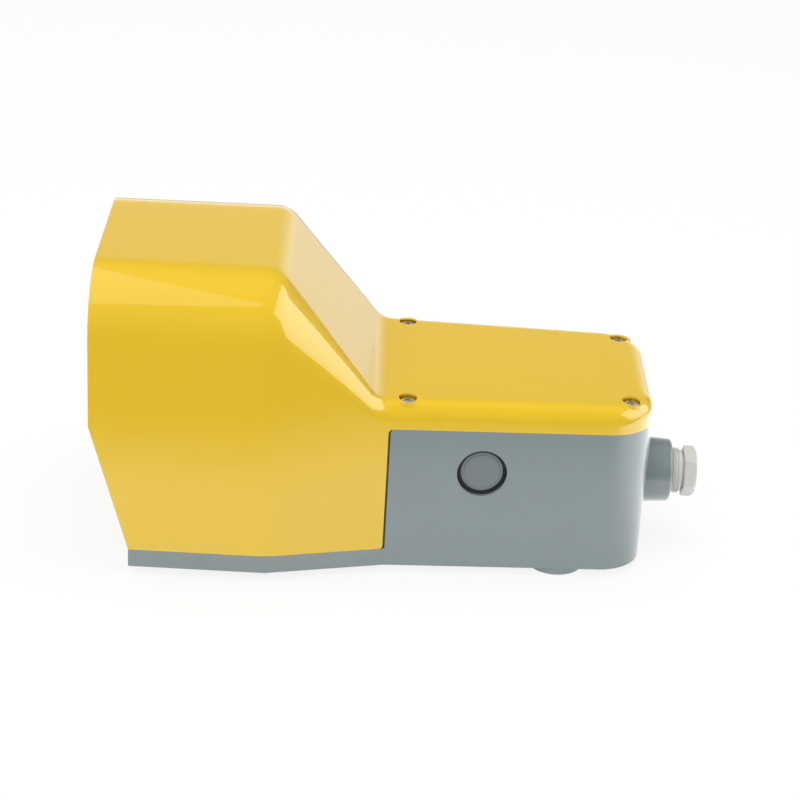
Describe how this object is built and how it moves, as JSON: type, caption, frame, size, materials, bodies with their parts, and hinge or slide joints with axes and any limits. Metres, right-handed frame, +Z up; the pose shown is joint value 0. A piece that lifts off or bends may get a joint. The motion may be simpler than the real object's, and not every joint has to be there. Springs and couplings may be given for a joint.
{
  "type": "foot switch",
  "caption": "Industrial foot switch with a toe hood over a sprung pedal, a sealed rear contact housing and one threaded cable entry.",
  "frame": {"origin": "on the floor plane, midway between the four floor fixing holes", "axes": "+X from the foot opening to the cable entry, +Z up, +Y to the left of someone looking along +X"},
  "size_m": [0.2906, 0.1334, 0.148],
  "materials": {
    "housing_plastic": "fine satin moulding grain",
    "hood_plastic": "glossy moulded yellow",
    "plug_plastic": "satin",
    "gland_plastic": "light grey moulding, satin",
    "black_rubber": "matt",
    "foot_rubber": "matt",
    "tread_rubber": "matt, ribbed",
    "zinc_steel": "zinc plated",
    "bright_steel": "ground",
    "spring_steel": "drawn wire",
    "brass": "turned",
    "contact_brass": "stamped strip",
    "bush_plastic": "natural bearing plastic",
    "pedal_plastic": "glass-filled moulding",
    "block_plastic": "matt thermoset",
    "block_lid_plastic": "matt",
    "plunger_plastic": "moulded"
  },
  "bodies": {
    "housing": {"base_housing": "housing_plastic", "hood_cover": "hood_plastic", "cover_gasket": "black_rubber", "cover_screws": "zinc_steel", "cover_inserts": "brass", "hood_screws": "zinc_steel", "foot_pads": "foot_rubber", "side_plugs": "plug_plastic", "side_plug_seals": "black_rubber", "side_plug_nuts": "zinc_steel", "gland_screw": "gland_plastic", "gland_washer": "zinc_steel", "gland_seal": "black_rubber", "pivot_pin": "bright_steel", "pin_clips": "zinc_steel", "return_spring": "spring_steel", "bump_stops": "black_rubber", "rest_buffer": "black_rubber", "rod_bush": "bush_plastic", "rod_seal": "black_rubber", "block_base": "block_plastic", "block_lid": "block_lid_plastic", "block_screws": "zinc_steel", "lid_screws": "zinc_steel", "fixed_contacts": "contact_brass", "terminal_clamps": "zinc_steel", "terminal_screws": "zinc_steel", "plunger_spring": "spring_steel"},
    "pedal": {"pedal_bushes": "bush_plastic", "pedal_plate": "pedal_plastic", "pedal_tread": "tread_rubber", "tread_screws": "zinc_steel"},
    "push_rod": {"push_rod": "bright_steel", "rod_clip": "zinc_steel"},
    "plunger": {"block_plunger": "plunger_plastic", "contact_bridges": "contact_brass"}
  },
  "joints": [
    {"name": "pedal_press", "type": "hinge", "parent": "housing", "child": "pedal", "pos_m": [-0.013, 0, 0.0385], "axis": [0, -1, 0], "range_deg": [0, 10], "stiffness_Nm_per_rad": 6, "springref_deg": -8.59, "deforming": ["return_spring"]},
    {"name": "push_rod_slide", "type": "slide", "parent": "housing", "child": "push_rod", "axis": [1, 0, 0], "range_m": [0, 0.003]},
    {"name": "plunger_slide", "type": "slide", "parent": "housing", "child": "plunger", "axis": [1, 0, 0], "range_m": [0, 0.003], "deforming": ["plunger_spring"]}
  ],
  "couplings": [
    {"joint": "push_rod_slide", "follows": "pedal_press", "m_per_rad": 0.017},
    {"joint": "plunger_slide", "follows": "pedal_press", "m_per_rad": 0.017}
  ]
}
